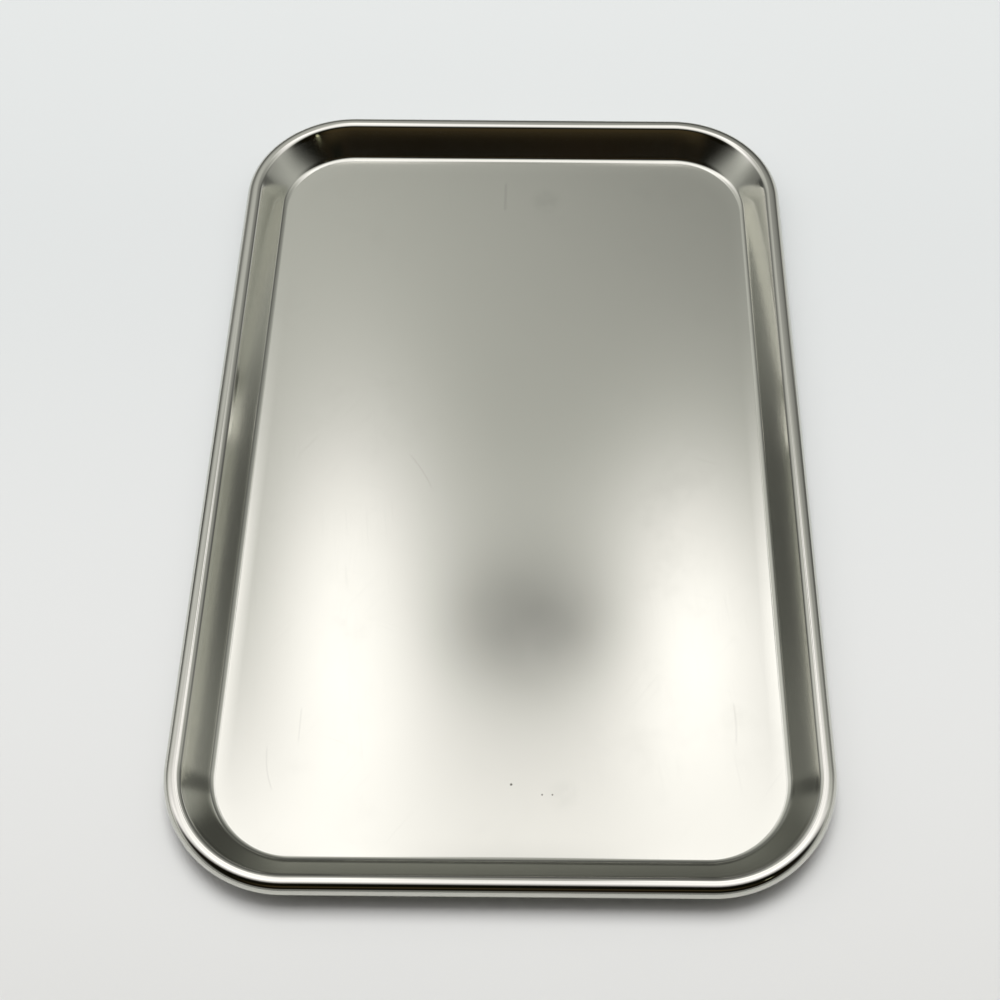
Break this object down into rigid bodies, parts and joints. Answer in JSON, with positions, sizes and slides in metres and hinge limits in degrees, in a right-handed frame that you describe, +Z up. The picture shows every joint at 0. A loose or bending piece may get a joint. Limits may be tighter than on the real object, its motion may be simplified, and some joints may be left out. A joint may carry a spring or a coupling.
{
  "type": "developing tray",
  "caption": "Shallow rectangular stainless steel tray with a flat satin floor, sloped walls, round corners and a polished rolled rim.",
  "frame": {"origin": "middle of the tray's outline, level with the underside of its floor, which is the plane it stands on", "axes": "+Y along the tray's long side, +X along its short side, +Z up out of the open side"},
  "size_m": [0.321, 0.486, 0.0183],
  "materials": {
    "pan_steel": "satin stainless steel, mirror polished on the rim",
    "rod_steel": "plain drawn steel rod, hidden inside the rim"
  },
  "bodies": {
    "root": {"tray_pan": "pan_steel", "rim_rod": "rod_steel"}
  },
  "joints": []
}
